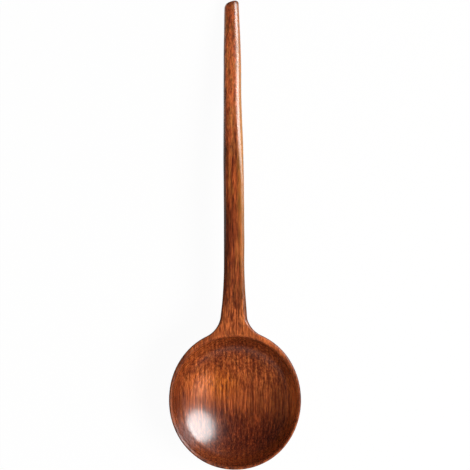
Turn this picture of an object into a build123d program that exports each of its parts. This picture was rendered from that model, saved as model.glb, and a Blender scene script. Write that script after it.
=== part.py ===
from build123d import *
import math
import os

# A long-handled wooden spoon with a round bowl, carved from one blank and lying as it does on a
# table: on the foot under its bowl and on the tip of its arched handle.
# +Y runs from the bowl towards the tip, +Z is up, and the origin is the middle of the foot.
# Lengths are in millimetres and angles in degrees.

# Whole spoon
overall_length = 270.0

# Outside of the bowl, a half ellipsoid with its lowest part cut flat as a foot
bowl_length = 80.4
bowl_width = 75.9
rim_height = 25.0
foot_width = 21.0

# Walls that the hollow leaves: at the rim's sides, lip and neck, and at the middle of the floor
rim_side = 2.05
rim_lip = 2.0
rim_neck = 4.0
floor_thickness = 5.0

# Handle, measured where it is gripped, above the neck
grip_width = 11.7
grip_thickness = 9.6

# Arch of the handle's top, from the rim over a shoulder down to the tip
shoulder_reach = 48.0
shoulder_rise = 2.2
tip_slope = 15.0

# Tip of the handle
tip_thickness = 7.2
tip_wear = 0.5
tip_round = 0.9
tip_corner_across = 3.4
tip_corner_along = 2.4
tip_corner_round = 0.6

# Neck, where the handle grows out of the bowl's back
neck_root = 10.0
neck_length = 9.6
neck_round = 12.5

# Softened edges of the rim and of the handle's flat top
outer_edge_round = 1.0
inner_edge_round = 0.7

# How far a cutting shape runs past the wood
overrun = 20.0

# Stations along the handle's top line, from its root in the bowl to the tip. Each gives the share
# of the line's length, the share of the grip's width, the share of its thickness that stands
# above the top line until it is carved flat, and the share of the half width that rounds a corner.
station_shares = [
    (0.000, 1.600, 0.80, 0.70),
    (0.075, 1.420, 0.60, 0.65),
    (0.140, 1.130, 0.35, 0.55),
    (0.195, 1.020, 0.20, 0.45),
    (0.300, 1.000, 0.10, 0.35),
    (0.450, 0.970, 0.10, 0.32),
    (0.600, 0.945, 0.10, 0.30),
    (0.720, 0.880, 0.10, 0.30),
    (0.850, 0.860, 0.10, 0.30),
    (0.930, 0.765, 0.10, 0.30),
    (1.000, 0.715, 0.10, 0.30),
]
# Along the top line, the share where the handle starts to thin towards the tip
thinning_share = 0.35
# The share of a side that the bevel at each of its ends takes
bevel_share = 0.29

bowl_back = bowl_length / 2
tip_y = overall_length - bowl_back
outer_depth = rim_height / math.sqrt(1 - (foot_width / bowl_width) ** 2)


def handle_top_line():
    """The middle of the handle's top, from the rim's level over the shoulder to the tip."""
    slope = math.radians(tip_slope)
    tip_height = tip_thickness * math.cos(slope) - tip_wear
    return Spline(
        (0, bowl_back - neck_root, rim_height),
        (0, bowl_back + shoulder_reach, rim_height + shoulder_rise),
        (0, tip_y, tip_height),
        tangents=[(0, 1, 0), (0, math.cos(slope), -math.sin(slope))],
    )


def thickness_at(share):
    """The handle's thickness at a share of its top line."""
    thinned = max(0, share - thinning_share) / (1 - thinning_share)
    return grip_thickness + (tip_thickness - grip_thickness) * thinned


def handle_section(top_line, share, width_share, crown_share, round_share):
    """An eight-sided section with rounded corners that stands square to the top line."""
    crown = thickness_at(share) * crown_share
    width = grip_width * width_share
    height = thickness_at(share) + crown
    side = width / 2
    top = height / 2
    side_flat = side * (1 - 2 * bevel_share)
    top_flat = top * (1 - 2 * bevel_share)
    quarter = [(side, top_flat), (side_flat, top)]
    corners = quarter + [(-x, y) for x, y in reversed(quarter)]
    corners += [(-x, -y) for x, y in corners]
    bevelled = make_face(Polyline(*corners, close=True))
    corner_round = round_share * min(width, height) / 2
    rounded = fillet(bevelled.vertices(), corner_round)
    square = Plane(origin=top_line @ share, x_dir=(-1, 0, 0), z_dir=top_line % share)
    return square * Pos(0, crown - height / 2, 0) * rounded


def tip_corner_waste(top_line):
    """The wedge that a slanting knife cut takes off one corner of the tip."""
    along = top_line % 1
    up = Vector(1, 0, 0).cross(along)
    corner_x = -grip_width * station_shares[-1][1] / 2
    wedge = Polyline(
        (corner_x - tip_corner_across, -2 * tip_corner_along),
        (corner_x + 2 * tip_corner_across, tip_corner_along),
        (corner_x - tip_corner_across, tip_corner_along),
        close=True,
    )
    seen_from_above = Plane(origin=top_line @ 1, x_dir=(1, 0, 0), z_dir=up)
    return extrude(seen_from_above * make_face(wedge), overrun, both=True)


def carved_handle(top_line):
    """The handle with its neck flare and rounded end, before its top is flattened."""
    handle = loft([handle_section(top_line, *station) for station in station_shares])
    end_face = handle.faces().sort_by(Axis.Y)[-1]
    return fillet(end_face.edges(), tip_round)


def ellipsoid_at_rim(length, width, depth):
    """An ellipsoid about the middle of the rim, its seam towards the handle."""
    ball = Rot(0, 0, 90) * Sphere(1)
    return Pos(0, 0, rim_height) * scale(ball, by=(width / 2, length / 2, depth))


def bowl_hollow():
    """The hollow, which the rim's width leaves nearer to the lip than to the neck."""
    length = bowl_length - rim_lip - rim_neck
    width = bowl_width - 2 * rim_side
    hollow = ellipsoid_at_rim(length, width, rim_height - floor_thickness)
    return Pos(0, (rim_lip - rim_neck) / 2, 0) * hollow


def wood_above(top_line):
    """What is carved away above the rim and above the handle's top."""
    start = top_line @ 0
    end = top_line @ 1
    run_out = end + (top_line % 1) * overrun
    sky = rim_height + bowl_width
    front = -bowl_back - overrun
    outline = [
        top_line,
        Line(end, run_out),
        Polyline(run_out, (0, run_out.Y, sky), (0, front, sky), (0, front, rim_height), start),
    ]
    return extrude(Pos(-bowl_width, 0, 0) * make_face(outline), 2 * bowl_width, dir=(1, 0, 0))


def wood_below():
    """What the foot's flat and the worn flat under the tip take off."""
    return Pos(0, 0, -overrun) * Box(2 * bowl_width, 3 * overall_length, 2 * overrun)


def carve(blank, waste, edge_round):
    """The blank without the waste, with every edge of the cut softened."""
    cut = blank - waste
    return fillet(new_edges(blank, waste, combined=cut), edge_round)


def carved_spoon():
    """The whole spoon as one piece of wood."""
    top_line = handle_top_line()
    outside = ellipsoid_at_rim(bowl_length, bowl_width, outer_depth)
    handle = carved_handle(top_line)
    blank = outside + handle
    blank = fillet(new_edges(outside, handle, combined=blank), neck_round)
    blank = carve(blank, wood_above(top_line), outer_edge_round)
    blank = carve(blank, tip_corner_waste(top_line), tip_corner_round)
    return carve(blank, bowl_hollow(), inner_edge_round) - wood_below()


os.makedirs("parts", exist_ok=True)
spoon = carved_spoon()
neck_plane = Plane.XZ.offset(-bowl_back - neck_length)
pieces = {
    "bowl": split(spoon, bisect_by=neck_plane, keep=Keep.TOP),
    "handle": split(spoon, bisect_by=neck_plane, keep=Keep.BOTTOM),
}
for name, piece in pieces.items():
    export_step(piece, f"parts/{name}.step", precision_mode=PrecisionMode.GREATEST)
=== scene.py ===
import math

import bmesh
import bpy
import numpy as np
from bpy.props import FloatProperty, FloatVectorProperty, PointerProperty
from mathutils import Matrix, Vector


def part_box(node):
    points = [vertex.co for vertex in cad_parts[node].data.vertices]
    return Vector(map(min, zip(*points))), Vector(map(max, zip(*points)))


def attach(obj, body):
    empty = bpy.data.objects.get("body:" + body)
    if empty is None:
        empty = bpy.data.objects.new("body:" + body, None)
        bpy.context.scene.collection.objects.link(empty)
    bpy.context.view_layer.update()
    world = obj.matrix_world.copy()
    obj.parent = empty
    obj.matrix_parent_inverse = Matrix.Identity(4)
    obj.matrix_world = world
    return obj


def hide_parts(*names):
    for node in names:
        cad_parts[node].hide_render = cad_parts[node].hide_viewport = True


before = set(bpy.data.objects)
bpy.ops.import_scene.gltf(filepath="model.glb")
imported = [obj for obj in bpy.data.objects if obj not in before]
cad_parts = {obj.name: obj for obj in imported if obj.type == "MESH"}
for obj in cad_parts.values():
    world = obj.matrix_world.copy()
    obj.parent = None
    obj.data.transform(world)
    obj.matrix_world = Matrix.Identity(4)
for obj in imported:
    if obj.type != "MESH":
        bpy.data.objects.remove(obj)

# A round-bowled wooden spoon, carved from one blank and lying on a pale table.
# +Y runs from the bowl towards the handle's tip and +Z is up. Lengths are in metres.

bl_info = {
    "name": "Carved Wooden Spoon",
    "version": (1, 0, 0),
    "blender": (4, 5, 0),
    "location": "3D View > Sidebar > Spoon",
    "description": "Carves and oils a round-bowled wooden spoon on its packed frame",
    "category": "Add Mesh",
}

# Patches where the wood is made lighter or darker, some of them painted light and shade: middle and
# reach in millimetres, and the change of tone
TONE_PATCHES = (
    # Painted light where the hollow's left wall and middle face the lamp
    ((-16, 8, 20), (20, 14, 60), 0.3),
    ((4, 9, 20), (34, 22, 60), 0.2),
    # Painted shade: the dark band under the back of the rim, where the rim shades the hollow
    ((5, 33, 20), (26, 10, 60), -0.2),
    # The dark lower half of the hollow, darkest at the right
    ((0, -19, 20), (38, 20, 60), -0.35),
    ((22, -22, 20), (18, 16, 60), -0.1),
    # Painted light on the shaded right edge of the hollow, and its darker left edge
    ((34, 1, 20), (10, 24, 60), 0.4),
    ((-34, 2, 20), (10, 24, 60), -0.2),
    # Painted shade: the dark line at the left of the neck and along the handle's left side, which turn
    # away from the lamps
    ((-10, 42, 20), (8, 10, 60), -0.7),
    ((-7, 165, 20), (5, 90, 60), -0.8),
    # The darker left of the lower handle, the lighter upper handle and the dark end
    ((-4, 88, 20), (6, 50, 60), -0.3),
    ((0, 185, 20), (12, 70, 60), 0.3),
    ((0, 231, 20), (9, 6, 60), -0.6),
)

# Other soft patches of the wood: middle and reach in millimetres
CURLED = (22, 14, 15), (24, 22, 60)
COMBED = (0, 24, 15), (44, 44, 60)
NECK = (0, 48, 22), (18, 26, 60)
UPPER_HANDLE = (0, 214, 15), (14, 60, 60)
PORED = (3, -4, 10), (13, 30, 60)
GOLDEN = (-12, 9, 12), (22, 16, 60)
REDDENED = (10, -24, 15), (38, 26, 60)
# Painted light along the handle's right side, which faces the lamps
PAINTED_LIGHT_SIDE = (5.4, 165, 20), (4.2, 150, 60)
# A painted grey sheen beside the lip, standing in for the lamp's reflection spreading to the rim
PAINTED_SHEEN_PATCH = (-29, -21, 20), (10, 12, 60)
GRIPPED = (0, 122, 20), (16, 46, 60)

# The grain's noises: waves per millimetre across, along and up the spoon, then detail, roughness
# and shift where they matter
WANDER = (0.035, 0.012, 0.03), 2.0
QUIVER = (0.6, 0.05, 0.6), 2.0
BANDS = (0.09, 0.02, 0.09), 1.0
FIBRES = (2.0, 0.11, 2.0), 3.0, 0.7
STREAKS = (0.75, 0.03, 0.75), 3.0, 0.55
FLECKS = (1.1, 0.22, 1.1), 2.0, 0.6
FIGURE = (0.50, 0.55, 0.50), 3.0, 0.6
PORES = (2.6, 0.30, 2.6), 1.0
CLUSTERS = (0.13, 0.03, 0.13), 1.0, 0.5, (4.0, 0.0, 0.0)
GOLD = (0.5, 0.06, 0.5), 2.0, 0.5, (9.0, 0.0, 0.0)

# Growth lines: how far they wander and quiver, in line spacings, and how narrow they are
RING_WANDER, RING_QUIVER, RING_SHARPNESS = 1.6, 0.35, 4.0
# Comb lines: how many there are to a growth line, and how far they quiver
COMB_LINES, COMB_QUIVER = 1.5, 2.0

# How much each part of the grain changes the tone
STREAK_TONE, FIBRE_TONE, GROWTH_TONE, BAND_TONE, COMB_TONE = 1.15, 1.7, 0.135, 0.3, 0.17
# The figure's strength everywhere, and what the curled patch adds
CURL_LEAST, CURL_MORE = 0.15, 0.75
# The flecks' strength everywhere, and what the upper handle and the neck add
FLECKS_LEAST, FLECKS_UPPER, FLECKS_NECK = 0.1, 1.3, 2.0
# What the neck takes back of the growth lines and of the streaks
NECK_GROWTH, NECK_STREAKS = 0.2, 0.6

# The rim's tone, painted light where the rim catches the lamps: what its back and its right side add,
# where in millimetres, and what it lacks; then the painted shade on the outside below the rim, where
# its edges turn away from the lamps
RIM_BACK_PAINTED_LIGHT, RIM_BACK_SPAN = 0.42, (18.0, 36.0)
RIM_RIGHT_PAINTED_LIGHT, RIM_RIGHT_SPAN = 0.22, (-12.0, 20.0)
RIM_DARK, OUTSIDE_PAINTED_SHADE = 0.30, 0.55

# Pores: the noise where they begin and are full, their clusters, their strength and their depth
PORE_EDGE, CLUSTER_EDGE = (0.60, 0.68), (0.42, 0.62)
PORES_LEAST, PORES_CLUSTERED, PORES_MIDDLE, PORE_DEPTH = 0.25, 0.75, 0.5, 0.62

# Tints that multiply the colour, and how much of each is taken
GOLD_TINT, GOLD_SHARE, GOLD_EDGE = (0.94, 1.22, 1.10), 0.8, (0.40, 0.70)
RED_TINT = (1.03, 0.88, 0.90)
WARM_TINT, WARM_SHARE = (1.0, 1.0, 0.40), 0.9
REDDENED_TINT = (1.0, 0.80, 0.72)
# The streaks' tints: their strength on the bowl, and where along the spoon they reach their full one
TINT_LEAST, TINT_SPAN = 0.35, (45.0, 80.0)
# Colours laid over the wood, the first two being painted light and a painted sheen: how much of each,
# and the noise where it begins and is full
PAINTED_LIGHT_SHARE = 0.8
PAINTED_SHEEN_SHARE, PAINTED_SHEEN_EDGE = 0.7, (0.30, 0.62)
WORN_SHARE, WORN_EDGE = 0.25, (0.75, 1.15)

# What roughens the wood, what its oil is made of and where it is thin, and what stands out
PORE_ROUGH, FIBRE_ROUGH, WEAR_ROUGH, OUTSIDE_ROUGH = 0.12, 0.14, 0.25, 0.5
OIL_LEAST, OIL_STREAKS, OIL_GRIPPED, OIL_GOLDEN = 0.62, 0.5, 0.95, 0.5
STREAK_RELIEF, FIBRE_RELIEF, PORE_RELIEF, GROWTH_RELIEF = 0.35, 0.1, 0.12, 0.15

# The lamps: place, the point that they shine at, width and height, and their colours
WINDOW = (3.575, 2.234, 2.64), (0, 0, 0.01), 3.10, 5.20
WINDOW_COLOUR = (0.93, 0.99, 1.0)
SIDE_LAMP = (0.95, -0.38, 1.15), (0, 0.08, 0), 0.8, 0.8
SIDE_COLOUR = (1.0, 0.98, 0.96)

# The room in reflections: its glow above, in front and at the right, and where these begin and end
GLOW_ABOVE, GLOW_FRONT, GLOW_RIGHT = 0.12, 1.7, 2.6
ROOM_LOW, ROOM_FRONT, ROOM_RIGHT = (0.15, 0.60), (0.3, 1.0), (0.60, 0.95)
RIGHT_ACROSS, RIGHT_ALONG = 0.83, 0.55
ROOM_COLOUR = (1.0, 0.97, 0.95, 1.0)

TABLE_HALF = 3.0
CAMERA_REACH = 100
TABLE_COLOUR = (0.95, 0.95, 0.95, 1.0)
# How much of the table's plain white the camera and reflections see, and not its shadow
TABLE_PLAIN = 0.96
WHITE = (1.0, 1.0, 1.0, 1.0)

BLANK = "spoon_blank"
MM = 0.001
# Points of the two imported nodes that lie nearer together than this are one
JOIN_DISTANCE = 0.0000001
# Rounds of spreading the skin's points evenly, and of moving them onto the surface
EVEN_ROUNDS, SETTLE_ROUNDS, LAST_ROUNDS = 8, 2, 4
# How many wear bends it takes from the start of wear to its full strength
WEAR_SPAN = 3
# The sockets of a mix node that take and give colours
MIX_FIRST, MIX_SECOND, MIX_RESULT = 6, 7, 2

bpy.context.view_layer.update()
bowl_low, bowl_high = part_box("bowl")
handle_low, handle_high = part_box("handle")

# The middle of the handle's top, seen from the side: place along the spoon, height and slope
TOP_LINE = (
    (0.0302, 0.0250, 0.0),
    (0.0882, 0.02717, 0.0154),
    (0.2298, 0.00645, -0.268),
)

# The handle from above: place along the spoon, half its width, and how far it sways to the right
HANDLE_STATIONS = (
    (0.030, 0.0084, 0.0),
    (0.045, 0.0078, -0.0003),
    (0.058, 0.0067, 0.0),
    (0.070, 0.0060, 0.0001),
    (0.095, 0.0059, 0.0003),
    (0.150, 0.0056, 0.0002),
    (0.173, 0.0051, 0.0),
    (0.196, 0.0050, 0.0001),
    (0.218, 0.0044, 0.0),
    (0.230, 0.0040, -0.0001),
)

# The handle's thickness along the spoon
THICKNESS_STATIONS = (
    (0.030, 0.0096),
    (0.100, 0.0096),
    (0.230, 0.0072),
)

# Corners of the handle's section, from its flat top round to its flat underside: the share of half
# the width and the share of the thickness below the top, on the grip and at the neck
GRIP_CORNERS = ((0.57, 0.00), (0.76, 0.063), (1.00, 0.26), (1.00, 0.64), (0.55, 1.00))
NECK_CORNERS = ((0.86, 0.00), (0.96, 0.060), (1.00, 0.16), (1.00, 0.58), (0.50, 1.00))
# Along the spoon, where the neck's corners start to turn into the grip's and where they end
LEFT_BEVEL = (0.050, 0.105)
RIGHT_BEVEL = (0.122, 0.158)


def smooth_step(low, high, value):
    """0 below low, 1 above high, and an even rise between them."""
    share = np.clip((value - low) / (high - low), 0, 1)
    return share * share * (3 - 2 * share)


def curve_through(places, values, slopes, where):
    """A smooth curve through values at places, with the given slopes there."""
    places, values, slopes = (np.asarray(part, float) for part in (places, values, slopes))
    step = np.clip(np.searchsorted(places, where, side="right") - 1, 0, len(places) - 2)
    length = places[step + 1] - places[step]
    share = np.clip((where - places[step]) / length, 0, 1)
    start = (1 + 2 * share) * (1 - share) ** 2
    end = share ** 2 * (3 - 2 * share)
    leave = share * (1 - share) ** 2 * length
    arrive = share ** 2 * (share - 1) * length
    return (start * values[step] + end * values[step + 1]
            + leave * slopes[step] + arrive * slopes[step + 1])


def station_curve(stations, column, where):
    """One column of a table of stations, as a smooth curve along the spoon."""
    places = [station[0] for station in stations]
    values = [station[column] for station in stations]
    return curve_through(places, values, np.gradient(values, places), where)


def union_round(first, second, radius):
    """Two fields joined, with the hollow corner between them rounded."""
    near = np.hypot(np.maximum(radius - first, 0), np.maximum(radius - second, 0))
    return np.maximum(radius, np.minimum(first, second)) - near


def cut_round(first, second, radius):
    """What two fields share, with the edge between them rounded."""
    near = np.hypot(np.maximum(radius + first, 0), np.maximum(radius + second, 0))
    return np.minimum(-radius, np.maximum(first, second)) + near


class Carving:
    """The spoon as a field of distances: below zero in the wood and zero on its surface."""

    probe = 0.00001
    edge_probe = 0.00015
    least_steep = 0.1
    # The knife's waver along the handle: its wave, and where that starts right and left
    waver_waves = ((0.0049, 1.1, 3.4), (0.0113, 0.2, 2.0))
    # Where along the spoon the rim ends, the painted shade on the handle's sides ends and that on its
    # tip begins
    bowl_end = (0.042, 0.056)
    sides_end = (0.070, 0.120)
    tip_start = (0.2264, 0.2290)
    # How far below the top the rim ends, the outside's painted shade begins and the lower wood begins
    rim_below = (0.0002, 0.0009)
    outside_below = (0.00008, 0.0006)
    low_below = (0.0025, 0.0090)
    # How far from the hollow the outside begins, and how much of the outside's painted shade the lower
    # wood takes back
    hollow_away = (0.0003, 0.0012)
    low_fade = 0.75
    # Each wave of the knife marks: its turn across, its length and its start
    knife_waves = ((2.1, 0.031, 0.4), (-1.3, 0.047, 2.2), (3.2, 0.019, 4.0))

    def __init__(self, shape):
        self.shape = shape

    def top_height(self, y):
        """The height of the rim and of the handle's top, and its slope."""
        places, heights, slopes = zip(*TOP_LINE)
        height = curve_through(places, heights, slopes, y)
        reach = self.probe * 10
        ahead = curve_through(places, heights, slopes, y + reach)
        behind = curve_through(places, heights, slopes, y - reach)
        return height, (ahead - behind) / (2 * reach)

    def oval(self, x, y, depth, radii):
        """A slightly full ellipsoid about the middle of the rim."""
        power = self.shape.fullness
        shares = [np.abs(part) / radius for part, radius in zip((x, y, depth), radii)]
        size = sum(share ** power for share in shares) ** (1 / power)
        steepness = np.sqrt(sum((share / radius) ** 2 for share, radius in zip(shares, radii)))
        return size * (size - 1) / np.maximum(steepness, 1)

    def handle(self, x, y, z):
        """The handle's many-sided section, before its top is cut flat."""
        top, slope = self.top_height(y)
        below = (top - z) / np.sqrt(1 + slope * slope)
        side = x - station_curve(HANDLE_STATIONS, 2, y)
        half_width = station_curve(HANDLE_STATIONS, 1, y)
        thickness = np.interp(y, *zip(*THICKNESS_STATIONS))
        right = side > 0
        bevelled = np.where(right, smooth_step(*RIGHT_BEVEL, y), smooth_step(*LEFT_BEVEL, y))
        waver = 0
        for wave, right_start, left_start in self.waver_waves:
            start = np.where(right, right_start, left_start)
            waver = waver + self.shape.knife_waver * np.sin(y / wave + start)
        corners = []
        for neck, grip in zip(NECK_CORNERS, GRIP_CORNERS):
            across = (neck[0] + (grip[0] - neck[0]) * bevelled) * half_width
            down = (neck[1] + (grip[1] - neck[1]) * bevelled) * thickness
            corners.append([across, down])
        corners[0][0] = corners[0][0] + waver * bevelled
        corners.append([-corners[-1][0], corners[-1][1]])
        middle = thickness / 2
        sharpness = self.shape.edge_sharpness
        total = 0
        for (across, down), (next_across, next_down) in zip(corners, corners[1:]):
            normal_across = next_down - down
            normal_down = across - next_across
            length = np.hypot(normal_across, normal_down)
            reach = (normal_across * across + normal_down * (down - middle)) / length
            here = (normal_across * np.abs(side) + normal_down * (below - middle)) / length
            total = total + np.maximum(here / reach, 0) ** sharpness
        return np.maximum((total ** (1 / sharpness) - 1) * half_width, HANDLE_STATIONS[0][0] - y)

    def bowl_reach(self):
        """Half the bowl's width and half its length."""
        return bowl_high.x - self.shape.rim_inset, -bowl_low.y - self.shape.rim_inset

    def hollow(self, x, y, depth):
        """The bowl's hollow, nearer to the lip than to the neck."""
        shape = self.shape
        half_width, half_length = self.bowl_reach()
        length = 2 * half_length - shape.rim_lip - shape.rim_neck
        width = 2 * half_width - 2 * shape.rim_side
        forward = (shape.rim_neck - shape.rim_lip) / 2
        floor_depth = shape.rim_height - shape.floor_thickness
        return self.oval(x, y + forward, depth, (width / 2, length / 2, floor_depth))

    def knife_marks(self, x, y, z):
        """The slight unevenness that a knife leaves, a few hundredths of a millimetre deep."""
        marks = 0
        for turn, wave, start in self.knife_waves:
            along = (y + 0.3 * z) / wave * 2 * math.pi
            marks = marks + np.sin(along + start) * np.cos(turn * x / wave + z / wave + start)
        return self.shape.knife_depth * marks / len(self.knife_waves)

    def wood(self, points):
        """The distance of each point from the spoon's surface."""
        shape = self.shape
        x, y, z = points.T
        depth = shape.rim_height - z
        half_width, half_length = self.bowl_reach()
        foot_share = shape.foot_width / (2 * half_width)
        outer_depth = shape.rim_height / math.sqrt(1 - foot_share ** 2)
        outside = self.oval(x, y, depth, (half_width, half_length, outer_depth))
        under = smooth_step(0, shape.neck_reach, depth)
        neck_round = shape.neck_round + (shape.neck_round_under - shape.neck_round) * under
        solid = union_round(outside, self.handle(x, y, z), neck_round)
        solid = solid + self.knife_marks(x, y, z)
        top, slope = self.top_height(y)
        flat_top = (z - top) / np.sqrt(1 + slope * slope)
        solid = cut_round(solid, flat_top, shape.outer_edge)
        tip_slope = TOP_LINE[-1][2]
        lean = math.hypot(1, tip_slope)
        tip_height = TOP_LINE[-1][1]
        tip = (y - handle_high.y - shape.tip_reach + tip_slope * (z - tip_height)) / lean
        solid = cut_round(solid, tip, shape.tip_round)
        corner = Vector((-shape.tip_cut_along, shape.tip_cut_across)).normalized()
        slant = (x - shape.tip_cut_start) * corner.x + (y - handle_high.y) * corner.y
        solid = cut_round(solid, slant, shape.tip_cut_round)
        solid = cut_round(solid, -self.hollow(x, y, depth), shape.inner_edge)
        return cut_round(solid, -z, shape.foot_edge)

    def regions(self, points):
        """How far each point lies on the rim, on the outside below it, which is painted darker as
        shade, and lower down.
        """
        x, y, z = points.T
        below = self.top_height(y)[0] - z
        in_bowl = 1 - smooth_step(*self.bowl_end, y)
        rim = (1 - smooth_step(*self.rim_below, below)) * in_bowl
        ends = 1 - smooth_step(*self.sides_end, y) * (1 - smooth_step(*self.tip_start, y))
        outside = smooth_step(*self.outside_below, below) * ends
        hollow = self.hollow(x, y, self.shape.rim_height - z)
        outside = outside * smooth_step(*self.hollow_away, hollow)
        low = smooth_step(*self.low_below, below)
        return rim, outside * (1 - self.low_fade * low), low

    def slope(self, points, probe):
        """How the field changes along each axis at each point."""
        slopes = np.empty_like(points)
        for axis in range(3):
            step = np.zeros(3)
            step[axis] = probe
            slopes[:, axis] = (self.wood(points + step) - self.wood(points - step)) / (2 * probe)
        return slopes

    def normals(self, points, probe=None):
        """The surface's outward direction at each point."""
        slopes = self.slope(points, probe or self.probe)
        return slopes / np.linalg.norm(slopes, axis=1, keepdims=True)

    def settle(self, points, rounds):
        """The points, moved onto the surface."""
        for _ in range(rounds):
            slopes = self.slope(points, self.probe)
            steep = np.sum(slopes * slopes, axis=1, keepdims=True)
            step = self.wood(points)[:, None] * slopes / np.maximum(steep, self.least_steep)
            points = points - np.clip(step, -self.shape.cell, self.shape.cell)
        return points

    def bend(self, points):
        """How sharply the surface bends at each point: above zero on edges, below in hollows."""
        total = 0
        for axis in range(3):
            step = np.zeros(3)
            step[axis] = self.edge_probe
            ahead = self.normals(points + step, self.edge_probe)[:, axis]
            behind = self.normals(points - step, self.edge_probe)[:, axis]
            total = total + (ahead - behind) / (2 * self.edge_probe)
        return total


def mesh_points(mesh):
    """A mesh's vertices as rows of x, y and z."""
    points = np.empty(len(mesh.vertices) * 3)
    mesh.vertices.foreach_get("co", points)
    return points.reshape(-1, 3)


def even_out(points, edges, rounds, carving):
    """Spreads a mesh's points evenly over the carved surface."""
    first, second = edges.T
    ends = np.concatenate([first, second])
    others = np.concatenate([second, first])
    neighbours = np.bincount(ends, minlength=len(points))[:, None]
    for _ in range(rounds):
        sums = [np.bincount(ends, points[others, axis], len(points)) for axis in range(3)]
        middle = np.stack(sums, axis=1) / neighbours
        points = carving.settle((points + middle) / 2, SETTLE_ROUNDS)
    return carving.settle(points, LAST_ROUNDS)


def join_nodes(names):
    """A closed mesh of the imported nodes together."""
    joined = bmesh.new()
    for name in names:
        joined.from_mesh(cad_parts[name].data)
    bmesh.ops.remove_doubles(joined, verts=joined.verts, dist=JOIN_DISTANCE)
    mesh = bpy.data.meshes.new(BLANK)
    joined.to_mesh(mesh)
    joined.free()
    return mesh


def remesh(mesh, cell):
    """An even skin of square cells round a mesh."""
    rough = bpy.data.objects.new(BLANK, mesh)
    bpy.context.scene.collection.objects.link(rough)
    modifier = rough.modifiers.new("skin", "REMESH")
    modifier.mode = "VOXEL"
    modifier.voxel_size = cell
    evaluated = rough.evaluated_get(bpy.context.evaluated_depsgraph_get())
    skin = bpy.data.meshes.new_from_object(evaluated)
    bpy.data.objects.remove(rough)
    bpy.data.meshes.remove(mesh)
    return skin


def cut_portion(blank, place, beyond):
    """The blank's wood on one side of a plane across it, with the cut face closed."""
    portion = bmesh.new()
    portion.from_mesh(blank.data)
    everything = portion.verts[:] + portion.edges[:] + portion.faces[:]
    bmesh.ops.bisect_plane(
        portion, geom=everything, dist=MM * MM, plane_co=(0, place, 0), plane_no=(0, 1, 0),
        clear_outer=not beyond, clear_inner=beyond,
    )
    rim = [edge for edge in portion.edges if edge.is_boundary]
    cap = bmesh.ops.contextual_create(portion, geom=rim)["faces"]
    bmesh.ops.recalc_face_normals(portion, faces=portion.faces)
    portion.faces.index_update()
    capped = {face.index for face in cap}
    mesh = bpy.data.meshes.new("portion")
    portion.to_mesh(mesh)
    portion.free()
    return mesh, capped


def finish_surface(mesh, capped, carving):
    """Gives a portion smooth normals and marks its worn edges, its rim, its outside for painted shade
    and its lower parts.
    """
    points = mesh_points(mesh)
    normals = carving.normals(points)
    mesh.polygons.foreach_set("use_smooth", np.ones(len(mesh.polygons), bool))
    corner_points = np.empty(len(mesh.loops), int)
    mesh.loops.foreach_get("vertex_index", corner_points)
    corner_normals = normals[corner_points]
    for index in capped:
        face = mesh.polygons[index]
        corner_normals[list(face.loop_indices)] = face.normal
    mesh.normals_split_custom_set(corner_normals)
    bend = carving.bend(points)
    shape = carving.shape
    rim, outside, low = carving.regions(points)
    marks = {
        "wear": np.clip((bend - shape.wear_bend) / (WEAR_SPAN * shape.wear_bend), 0, 1),
        "rim": rim,
        "outside": outside,
        "low": low,
    }
    for name, values in marks.items():
        layer = mesh.attributes.new(name, "FLOAT", "POINT")
        layer.data.foreach_set("value", values.astype(np.float32))


def place_portion(name, node, beyond):
    """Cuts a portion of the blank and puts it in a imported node's place."""
    scene = bpy.context.scene
    blank = bpy.data.objects.get(BLANK)
    if blank is None:
        raise RuntimeError("the blank has to be roughed out first")
    mesh, capped = cut_portion(blank, handle_low.y, beyond)
    finish_surface(mesh, capped, Carving(scene.spoon_shape))
    mesh.name = name
    piece = bpy.data.objects.new(name, mesh)
    scene.collection.objects.link(piece)
    mesh.materials.append(oiled_wood(scene.spoon_wood))
    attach(piece, "root")
    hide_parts(node)
    return piece


class Shade:
    """A value in a material, so that its maths reads as Python."""

    def __init__(self, finish, socket):
        self.finish = finish
        self.socket = socket

    def maths(self, operation, *operands):
        return self.finish.node("ShaderNodeMath", {"operation": operation}, *operands)

    def __add__(self, other):
        return self.maths("ADD", self, other)

    def __sub__(self, other):
        return self.maths("SUBTRACT", self, other)

    def __radd__(self, other):
        return self + other

    def __rmul__(self, other):
        return self * other

    def __rsub__(self, other):
        return self.maths("SUBTRACT", other, self)

    def __mul__(self, other):
        return self.maths("MULTIPLY", self, other)

    def __truediv__(self, other):
        return self.maths("DIVIDE", self, other)

    def __pow__(self, other):
        return self.maths("POWER", self, other)

    def wave(self):
        """The sine of the value."""
        return self.maths("SINE", self)

    def swing(self):
        """How far a noise lies above or below its middle."""
        return self - 0.5

    def held(self):
        """The value, held between 0 and 1."""
        return self.maths("MAXIMUM", self.maths("MINIMUM", self, 1.0), 0.0)


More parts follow.
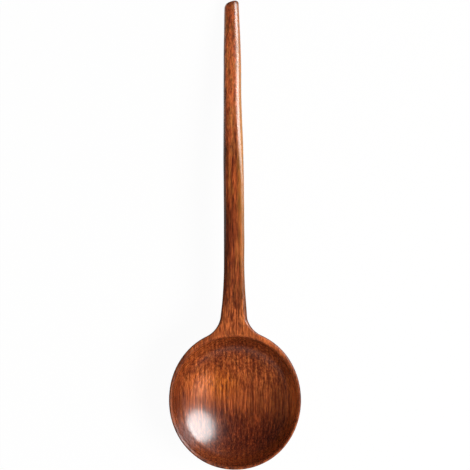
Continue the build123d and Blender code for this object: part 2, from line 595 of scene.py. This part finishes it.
class Finish:
    """The nodes of a material, or of the room's light, under construction."""

    def __init__(self, holder):
        self.holder = holder
        holder.use_nodes = True
        self.tree = holder.node_tree
        self.tree.nodes.clear()

    def node(self, kind, settings=None, *values, output=0, at=None, **named):
        """Adds a node, makes its settings, fills its sockets and returns one of its outputs."""
        made = self.tree.nodes.new(kind)
        for key, setting in (settings or {}).items():
            if key == "stops":
                self.fill_ramp(made.color_ramp, setting)
            else:
                setattr(made, key, setting)
        for place, value in [*enumerate(values), *(at or {}).items(), *named.items()]:
            socket = made.inputs[place.replace("_", " ") if isinstance(place, str) else place]
            if isinstance(value, Shade):
                self.tree.links.new(value.socket, socket)
            else:
                socket.default_value = value
        return Shade(self, made.outputs[output]) if made.outputs else None

    def fill_ramp(self, ramp, stops):
        """Gives a colour ramp its stops."""
        while len(ramp.elements) < len(stops):
            ramp.elements.new(1.0)
        for element, (place, colour) in zip(ramp.elements, stops):
            element.position = place
            element.color = (*colour, 1.0)

    def stretched(self, vector, scales, shift=(0.0, 0.0, 0.0)):
        """A place, scaled and shifted by axis."""
        scaled = self.node("ShaderNodeVectorMath", {"operation": "MULTIPLY"}, vector, scales)
        return self.node("ShaderNodeVectorMath", {"operation": "ADD"}, scaled, shift)

    def noise(self, vector, scales, detail=2.0, roughness=0.5, shift=(0.0, 0.0, 0.0)):
        """Soft noise between 0 and 1, stretched by axis."""
        place = self.stretched(vector, scales, shift)
        return self.node("ShaderNodeTexNoise", {}, Vector=place, Scale=1.0, Detail=detail,
                         Roughness=roughness)

    def rise(self, value, low, high):
        """0 below low, 1 above high, and an even rise between them."""
        return self.node("ShaderNodeMapRange", {"interpolation_type": "SMOOTHSTEP"},
                         Value=value, From_Min=low, From_Max=high)

    def mix(self, share, first, second, blend="MIX"):
        """Two colours mixed."""
        settings = {"data_type": "RGBA", "blend_type": blend}
        first, second = (part if isinstance(part, Shade) else (*part, 1.0) for part in (first, second))
        colours = {MIX_FIRST: first, MIX_SECOND: second}
        return self.node("ShaderNodeMix", settings, share, at=colours, output=MIX_RESULT)

    def patch(self, place, middle, radii):
        """A soft round patch: 1 in its middle and 0 past its radii."""
        shifted = self.node("ShaderNodeVectorMath", {"operation": "SUBTRACT"}, place, middle)
        scaled = self.node("ShaderNodeVectorMath", {"operation": "DIVIDE"}, shifted, radii)
        far = self.node("ShaderNodeVectorMath", {"operation": "LENGTH"}, scaled, output="Value")
        return 1 - self.rise(far, 0.0, 1.0)


class Grain:
    """The lines and noises of the wood at each place."""

    def __init__(self, wood, place, across, ring_spacing):
        wander = wood.noise(place, *WANDER).swing()
        quiver = wood.noise(place, *QUIVER).swing()
        lines = across / ring_spacing * MM + wander * RING_WANDER + quiver * RING_QUIVER
        rings = lines * (2 * math.pi)
        self.growth = ((rings.wave() + 1) / 2) ** RING_SHARPNESS
        self.comb = ((rings * COMB_LINES + quiver * COMB_QUIVER).wave() + 1) / 2
        self.bands = wood.noise(place, *BANDS)
        self.fibres = wood.noise(place, *FIBRES)
        self.streaks = wood.noise(place, *STREAKS)
        self.flecks = wood.noise(place, *FLECKS)
        self.figure = wood.noise(place, *FIGURE)


def grain_tone(wood, place, grain):
    """How light the grain makes the wood, with the middle colour at a half."""
    curl = CURL_LEAST + CURL_MORE * wood.patch(place, *CURLED)
    at_neck = wood.patch(place, *NECK)
    flecked = FLECKS_LEAST + FLECKS_UPPER * wood.patch(place, *UPPER_HANDLE) + FLECKS_NECK * at_neck
    tone = 0.5 + grain.streaks.swing() * STREAK_TONE + grain.fibres.swing() * FIBRE_TONE
    tone = tone + grain.figure.swing() * curl - grain.growth * GROWTH_TONE
    tone = tone + grain.bands.swing() * BAND_TONE
    tone = tone - grain.comb * COMB_TONE * wood.patch(place, *COMBED)
    tone = tone + grain.flecks.swing() * flecked
    return tone + at_neck * (grain.growth * NECK_GROWTH - grain.streaks.swing() * NECK_STREAKS)


def tone_of_stain_and_painted_light(wood, place, across, along, rim, outside):
    """How much lighter or darker the patches, the rim and the outside make the wood; much of it is
    painted light and shade.
    """
    stain_and_painted_light = 0.0
    for middle, radii, change in TONE_PATCHES:
        stain_and_painted_light = stain_and_painted_light + wood.patch(place, middle, radii) * change
    # Painted light on the rim's back and right side, and painted shade on the outside
    back = RIM_BACK_PAINTED_LIGHT * wood.rise(along, *RIM_BACK_SPAN)
    right = RIM_RIGHT_PAINTED_LIGHT * wood.rise(across, *RIM_RIGHT_SPAN)
    return stain_and_painted_light * (1 - rim) + rim * (back + right - RIM_DARK) - outside * OUTSIDE_PAINTED_SHADE


def open_pores(wood, place):
    """How much of each place is a short dark pore."""
    pores = wood.rise(wood.noise(place, *PORES), *PORE_EDGE)
    clusters = wood.rise(wood.noise(place, *CLUSTERS), *CLUSTER_EDGE)
    more = PORES_CLUSTERED * clusters + PORES_MIDDLE * wood.patch(place, *PORED)
    return pores * (PORES_LEAST + more)


def tinted(wood, place, along, colour):
    """The colour with the golden and the red of its streaks and of the bowl's two sides."""
    golden = wood.rise(wood.noise(place, *GOLD), *GOLD_EDGE)
    strength = TINT_LEAST + (1 - TINT_LEAST) * wood.rise(along, *TINT_SPAN)
    colour = wood.mix(golden * strength * GOLD_SHARE, colour, GOLD_TINT, "MULTIPLY")
    colour = wood.mix((1 - golden) * strength, colour, RED_TINT, "MULTIPLY")
    colour = wood.mix(wood.patch(place, *GOLDEN) * WARM_SHARE, colour, WARM_TINT, "MULTIPLY")
    return wood.mix(wood.patch(place, *REDDENED), colour, REDDENED_TINT, "MULTIPLY")


def overlaid(wood, place, grain, colour, colours, low, wear):
    """The colour with painted light on the handle's right side, a painted sheen beside the lip and the
    worn edges over it.
    """
    pale = wood.patch(place, *PAINTED_LIGHT_SIDE) * (1 - low)
    colour = wood.mix(pale * PAINTED_LIGHT_SHARE, colour, colours.pale[:])
    painted_sheen = wood.patch(place, *PAINTED_SHEEN_PATCH) * wood.rise(grain.streaks, *PAINTED_SHEEN_EDGE)
    colour = wood.mix(painted_sheen * PAINTED_SHEEN_SHARE, colour, colours.painted_sheen[:])
    worn = wear * wood.rise(grain.streaks + grain.figure, *WORN_EDGE)
    return wood.mix(worn * WORN_SHARE, colour, colours.bright[:])


def oiled_wood(colours):
    """Reddish-brown wood with growth lines, fibres and pores along the spoon, under a soft oil, with
    painted light, shade and sheen in its colour.
    """
    made = bpy.data.materials.get("oiled_wood")
    if made:
        return made
    wood = Finish(bpy.data.materials.new("oiled_wood"))
    metres = wood.node("ShaderNodeTexCoord", {}, output="Object")
    place = wood.stretched(metres, (1 / MM, 1 / MM, 1 / MM))
    across = wood.node("ShaderNodeSeparateXYZ", {}, place, output="X")
    along = wood.node("ShaderNodeSeparateXYZ", {}, place, output="Y")
    wear, rim, outside, low = (
        wood.node("ShaderNodeAttribute", {"attribute_name": name}, output="Fac")
        for name in ("wear", "rim", "outside", "low"))
    grain = Grain(wood, place, across, colours.ring_spacing)
    # The tone carries painted light and shade from the patches, the rim and the outside
    tone = grain_tone(wood, place, grain) + tone_of_stain_and_painted_light(wood, place, across, along, rim, outside)
    stops = (
        (0.00, colours.darkest[:]),
        (0.25, colours.dark[:]),
        (0.50, colours.middle[:]),
        (0.75, colours.light[:]),
        (1.00, colours.bright[:]),
    )
    colour = wood.node("ShaderNodeValToRGB", {"stops": stops}, tone.held())
    pores = open_pores(wood, place)
    colour = wood.mix(pores * PORE_DEPTH, colour, colours.pore[:])
    colour = tinted(wood, place, along, colour)
    # Painted light on the handle's side and a painted sheen by the lip go over the colour
    colour = overlaid(wood, place, grain, colour, colours, low, wear)
    roughness = colours.roughness + pores * PORE_ROUGH + grain.fibres.swing() * FIBRE_ROUGH
    roughness = roughness + wear * WEAR_ROUGH + outside * OUTSIDE_ROUGH
    coat = (OIL_LEAST + OIL_STREAKS * grain.streaks) * (1 - wear) * (1 - outside)
    coat = coat * (1 - OIL_GRIPPED * wood.patch(place, *GRIPPED))
    coat = coat * (1 - OIL_GOLDEN * wood.patch(place, *GOLDEN))
    relief = grain.streaks * STREAK_RELIEF + grain.fibres * FIBRE_RELIEF
    relief = relief - pores * PORE_RELIEF - grain.growth * GROWTH_RELIEF
    bump = wood.node("ShaderNodeBump", {}, Strength=1.0, Distance=colours.relief_depth, Height=relief)
    surface = wood.node("ShaderNodeBsdfPrincipled", {}, Base_Color=colour, Roughness=roughness,
                        Normal=bump, Specular_IOR_Level=colours.specular, Coat_Weight=coat,
                        Coat_Roughness=colours.coat_roughness)
    wood.node("ShaderNodeOutputMaterial", {}, surface)
    return wood.holder


def aim(item, target):
    """Turns a lamp so that it shines at a point."""
    item.rotation_euler = (Vector(target) - item.location).to_track_quat("-Z", "Y").to_euler()


def add_lamp(name, place, target, width, height, power, colour, glossy=True, diffuse=True):
    """A soft oval lamp."""
    data = bpy.data.lights.new(name, "AREA")
    data.shape = "ELLIPSE"
    data.size = width
    data.size_y = height
    data.energy = power
    data.color = colour
    lamp = bpy.data.objects.new(name, data)
    lamp.location = place
    lamp.visible_glossy = glossy
    lamp.visible_diffuse = diffuse
    bpy.context.scene.collection.objects.link(lamp)
    aim(lamp, target)
    return lamp


def pale_table():
    """A white table: plain to the camera and in reflections, yet holding a soft shadow."""
    table = Finish(bpy.data.materials.new("pale_table"))
    seen = table.node("ShaderNodeLightPath", {}, output="Is Camera Ray")
    mirrored = table.node("ShaderNodeLightPath", {}, output="Is Glossy Ray")
    through = table.node("ShaderNodeLightPath", {}, output="Is Transmission Ray")
    plain = (seen + mirrored + through).held()
    paint = table.node("ShaderNodeBsdfDiffuse", {}, Color=TABLE_COLOUR)
    glow = table.node("ShaderNodeEmission", {}, Color=WHITE, Strength=1.0)
    surface = table.node("ShaderNodeMixShader", {}, plain * TABLE_PLAIN, paint, glow)
    table.node("ShaderNodeOutputMaterial", {}, surface)
    return table.holder


def bright_room(stage):
    """A room that is white to the camera and dim in reflections, brighter low in front and right."""
    world = bpy.data.worlds.new("room")
    bpy.context.scene.world = world
    room = Finish(world)
    direction = room.node("ShaderNodeTexCoord", {}, output="Generated")
    across, along, height = (
        room.node("ShaderNodeSeparateXYZ", {}, direction, output=axis) for axis in ("X", "Y", "Z"))
    low = 1 - room.rise(height, *ROOM_LOW)
    front = room.rise(0 - along, *ROOM_FRONT)
    right = room.rise(across * RIGHT_ACROSS + along * RIGHT_ALONG, *ROOM_RIGHT)
    glow = (GLOW_ABOVE + low * (GLOW_FRONT * front + GLOW_RIGHT * right)) * stage.room_gloss
    mirrored = room.node("ShaderNodeLightPath", {}, output="Is Glossy Ray")
    strength = mirrored * glow + (1 - mirrored) * stage.room_light
    dim = room.node("ShaderNodeBackground", {}, Color=ROOM_COLOUR, Strength=strength)
    white = room.node("ShaderNodeBackground", {}, Color=WHITE, Strength=1.0)
    seen = room.node("ShaderNodeLightPath", {}, output="Is Camera Ray")
    either = room.node("ShaderNodeMixShader", {}, seen, dim, white)
    room.node("ShaderNodeOutputWorld", {}, either)


class SpoonShape(bpy.types.PropertyGroup):
    """The sizes that the spoon is carved to."""

    rim_height: FloatProperty(
        name="Rim height", description="Height of the bowl's rim above the table",
        default=0.025, unit="LENGTH")
    foot_width: FloatProperty(
        name="Foot width", description="Width of the flat under the bowl",
        default=0.021, unit="LENGTH")
    floor_thickness: FloatProperty(
        name="Floor", description="Wood under the deepest point of the hollow",
        default=0.005, unit="LENGTH")
    rim_side: FloatProperty(
        name="Rim at the sides", description="Width of the rim at the bowl's sides",
        default=0.00205, unit="LENGTH")
    rim_lip: FloatProperty(
        name="Rim at the lip", description="Width of the rim at the front of the bowl",
        default=0.0020, unit="LENGTH")
    rim_neck: FloatProperty(
        name="Rim at the neck", description="Width of the rim where the handle starts",
        default=0.0040, unit="LENGTH")
    rim_inset: FloatProperty(
        name="Rim inset", description="How far the finished rim stays inside the packed bowl",
        default=0.00003, unit="LENGTH")
    fullness: FloatProperty(
        name="Fullness", description="2 for a plain oval bowl, more for one with fuller shoulders",
        default=2.04, min=2.0, max=3.0)
    neck_round: FloatProperty(
        name="Neck round", description="Radius of the hollow corner beside the neck",
        default=0.0075, unit="LENGTH")
    neck_round_under: FloatProperty(
        name="Neck round below", description="Radius of the hollow corner under the neck",
        default=0.0095, unit="LENGTH")
    neck_reach: FloatProperty(
        name="Neck reach", description="Depth below the rim where the lower radius is reached",
        default=0.009, unit="LENGTH")
    outer_edge: FloatProperty(
        name="Outer edge", description="Radius of the rim's outer edge",
        default=0.0010, unit="LENGTH")
    inner_edge: FloatProperty(
        name="Inner edge", description="Radius of the rim's inner edge",
        default=0.0017, unit="LENGTH")
    foot_edge: FloatProperty(
        name="Foot edge", description="Radius of the edge round the foot",
        default=0.0003, unit="LENGTH")
    tip_reach: FloatProperty(
        name="Tip reach", description="How far the tip's end passes the packed handle before rounding",
        default=0.00022, unit="LENGTH")
    tip_round: FloatProperty(
        name="Tip round", description="Radius of the edges of the tip's end",
        default=0.0014, unit="LENGTH")
    tip_cut_start: FloatProperty(
        name="Tip cut start", description="Where across the end the slanting cut starts",
        default=-0.0002, unit="LENGTH")
    tip_cut_across: FloatProperty(
        name="Tip cut across", description="How far across the tip the slanting cut reaches",
        default=0.0035, unit="LENGTH")
    tip_cut_along: FloatProperty(
        name="Tip cut along", description="How far along the tip the slanting cut reaches",
        default=0.0023, unit="LENGTH")
    tip_cut_round: FloatProperty(
        name="Tip cut round", description="Radius of the edges of the slanting cut",
        default=0.0016, unit="LENGTH")
    edge_sharpness: FloatProperty(
        name="Edge sharpness", description="How crisp the handle's long edges are",
        default=110.0, min=4.0, max=200.0)
    knife_depth: FloatProperty(
        name="Knife marks", description="Depth of the unevenness that the knife left",
        default=0.00006, unit="LENGTH")
    knife_waver: FloatProperty(
        name="Knife waver", description="How far the handle's upper edges stray from a smooth line",
        default=0.00012, unit="LENGTH")
    wear_bend: FloatProperty(
        name="Wear bend", description="Bend of the surface, per metre, above which it wears",
        default=220.0, min=1.0)
    cell: FloatProperty(
        name="Cell", description="Size of the cells of the carved surface",
        default=0.0006, unit="LENGTH")


class SpoonWood(bpy.types.PropertyGroup):
    """The colours of the wood and the spacing of its growth lines."""

    # The ramp's darkest colour is reached where darker wood and painted shade are deepest
    darkest: FloatVectorProperty(
        name="Darkest wood", description="Colour of the deepest stain", subtype="COLOR",
        size=3, min=0, max=1, default=(0.062, 0.0093, 0.0026))
    dark: FloatVectorProperty(
        name="Dark wood", description="Colour of the dark streaks", subtype="COLOR",
        size=3, min=0, max=1, default=(0.139, 0.0262, 0.0074))
    middle: FloatVectorProperty(
        name="Middle wood", description="Colour of most of the wood", subtype="COLOR",
        size=3, min=0, max=1, default=(0.277, 0.0602, 0.0152))
    light: FloatVectorProperty(
        name="Light wood", description="Colour of the light streaks", subtype="COLOR",
        size=3, min=0, max=1, default=(0.500, 0.1180, 0.0290))
    bright: FloatVectorProperty(
        name="Bright wood", description="Colour of the lightest streaks and of worn edges",
        subtype="COLOR", size=3, min=0, max=1, default=(0.750, 0.1950, 0.0480))
    # Painted light: the handle's right side is made lighter where it faces the lamps
    pale: FloatVectorProperty(
        name="Pale side", description="Colour of the tan wood along the handle's right side",
        subtype="COLOR", size=3, min=0, max=1, default=(0.520, 0.220, 0.038))
    # Painted sheen: a grey colour beside the lip that stands in for a reflection
    painted_sheen: FloatVectorProperty(
        name="Rubbed wood", description="Dull colour beside the lip, where the oil has worn thin",
        subtype="COLOR", size=3, min=0, max=1, default=(0.230, 0.180, 0.190))
    pore: FloatVectorProperty(
        name="Pores", description="Colour of the short dark pores", subtype="COLOR",
        size=3, min=0, max=1, default=(0.050, 0.008, 0.003))
    ring_spacing: FloatProperty(
        name="Growth lines", description="Distance between growth lines",
        default=0.00305, unit="LENGTH")
    roughness: FloatProperty(
        name="Roughness", description="Roughness of the wood between its pores",
        default=0.25, min=0, max=1)
    specular: FloatProperty(
        name="Shine", description="How much the wood under the oil mirrors",
        default=0.18, min=0, max=1)
    coat_roughness: FloatProperty(
        name="Oil roughness", description="Roughness of the oil on the wood",
        default=0.21, min=0, max=1)
    relief_depth: FloatProperty(
        name="Relief", description="Height that the grain stands out by",
        default=0.0001, unit="LENGTH")


class SpoonStage(bpy.types.PropertyGroup):
    """The lamps, the room and the camera."""

    key_power: FloatProperty(
        name="Window light", description="Power of the soft window at the right, in watts",
        default=640.0, min=0)
    fill_power: FloatProperty(
        name="Side light", description="Power of the broad light at the right, in watts",
        default=26.0, min=0)
    room_light: FloatProperty(
        name="Room light", description="Strength of the light from all round",
        default=0.24, min=0)
    room_gloss: FloatProperty(
        name="Room gloss", description="Strength of the room's reflection in the oiled wood",
        default=0.35, min=0)
    camera_height: FloatProperty(
        name="Camera height", description="Height of the camera above the table",
        default=5.0, unit="LENGTH")
    camera_turn: FloatProperty(
        name="Camera turn", description="How far the camera is turned about its line of sight",
        default=math.radians(-0.48), unit="ROTATION")
    view_length: FloatProperty(
        name="View length", description="Length that the picture covers at the rim's height",
        default=0.2694, unit="LENGTH")
    view_across: FloatProperty(
        name="View across", description="Place across the spoon under the middle of the picture",
        default=0.0008, unit="LENGTH")
    view_along: FloatProperty(
        name="View along", description="Place along the spoon under the middle of the picture",
        default=0.0945, unit="LENGTH")


class SPOON_OT_rough_out(bpy.types.Operator):
    """Rough out the blank and carve it to the spoon's surface"""

    bl_idname = "spoon.rough_out"
    bl_label = "Rough Out Blank"

    def execute(self, context):
        shape = context.scene.spoon_shape
        skin = remesh(join_nodes(("bowl", "handle")), shape.cell)
        edges = np.empty(len(skin.edges) * 2, int)
        skin.edges.foreach_get("vertices", edges)
        points = even_out(mesh_points(skin), edges.reshape(-1, 2), EVEN_ROUNDS, Carving(shape))
        skin.vertices.foreach_set("co", points.ravel())
        skin.update()
        blank = bpy.data.objects.new(BLANK, skin)
        context.scene.collection.objects.link(blank)
        return {"FINISHED"}


class SPOON_OT_bowl(bpy.types.Operator):
    """Cut the bowl and the root of the neck from the blank and oil them"""

    bl_idname = "spoon.bowl"
    bl_label = "Make Bowl"

    def execute(self, context):
        place_portion("bowl_wood", "bowl", beyond=False)
        return {"FINISHED"}


class SPOON_OT_handle(bpy.types.Operator):
    """Cut the handle from the blank and oil it"""

    bl_idname = "spoon.handle"
    bl_label = "Make Handle"

    def execute(self, context):
        place_portion("handle_wood", "handle", beyond=True)
        bpy.data.objects.remove(bpy.data.objects[BLANK])
        return {"FINISHED"}


class SPOON_OT_stage(bpy.types.Operator):
    """Set the table, the lamps and the camera"""

    bl_idname = "spoon.stage"
    bl_label = "Set Stage"

    def execute(self, context):
        stage = context.scene.spoon_stage
        half = TABLE_HALF
        mesh = bpy.data.meshes.new("table")
        corners = [(-half, -half, 0), (half, -half, 0), (half, half, 0), (-half, half, 0)]
        mesh.from_pydata(corners, [], [(0, 1, 2, 3)])
        mesh.materials.append(pale_table())
        table = bpy.data.objects.new("table", mesh)
        context.scene.collection.objects.link(table)
        add_lamp("window", *WINDOW, stage.key_power, WINDOW_COLOUR, diffuse=False)
        add_lamp("side", *SIDE_LAMP, stage.fill_power, SIDE_COLOUR, glossy=False)
        bright_room(stage)
        data = bpy.data.cameras.new("camera")
        away = stage.camera_height - context.scene.spoon_shape.rim_height
        data.lens = data.sensor_width * away / stage.view_length
        data.clip_end = CAMERA_REACH
        camera = bpy.data.objects.new("camera", data)
        camera.location = (stage.view_across, stage.view_along, stage.camera_height)
        camera.rotation_euler = (0, 0, stage.camera_turn)
        context.scene.collection.objects.link(camera)
        context.scene.camera = camera
        context.scene.view_settings.view_transform = "Standard"
        return {"FINISHED"}


class SPOON_PT_workshop(bpy.types.Panel):
    """Lists the steps of making the spoon"""

    bl_label = "Carved Spoon"
    bl_idname = "SPOON_PT_workshop"
    bl_space_type = "VIEW_3D"
    bl_region_type = "UI"
    bl_category = "Spoon"

    def draw(self, context):
        for operator in STEPS:
            self.layout.operator(operator.bl_idname)
        for group in (context.scene.spoon_shape, context.scene.spoon_wood, context.scene.spoon_stage):
            box = self.layout.box()
            for name in group.__annotations__:
                box.prop(group, name)


STEPS = (SPOON_OT_rough_out, SPOON_OT_bowl, SPOON_OT_handle, SPOON_OT_stage)
GROUPS = {"spoon_shape": SpoonShape, "spoon_wood": SpoonWood, "spoon_stage": SpoonStage}
CLASSES = (*GROUPS.values(), *STEPS, SPOON_PT_workshop)


def register():
    for item in CLASSES:
        bpy.utils.register_class(item)
    for name, group in GROUPS.items():
        setattr(bpy.types.Scene, name, PointerProperty(type=group))


def unregister():
    for name in GROUPS:
        delattr(bpy.types.Scene, name)
    for item in reversed(CLASSES):
        bpy.utils.unregister_class(item)


def main():
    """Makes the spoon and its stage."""
    register()
    bpy.ops.spoon.rough_out()
    bpy.ops.spoon.bowl()
    bpy.ops.spoon.handle()
    bpy.ops.spoon.stage()


if __name__ == "__main__":
    main()
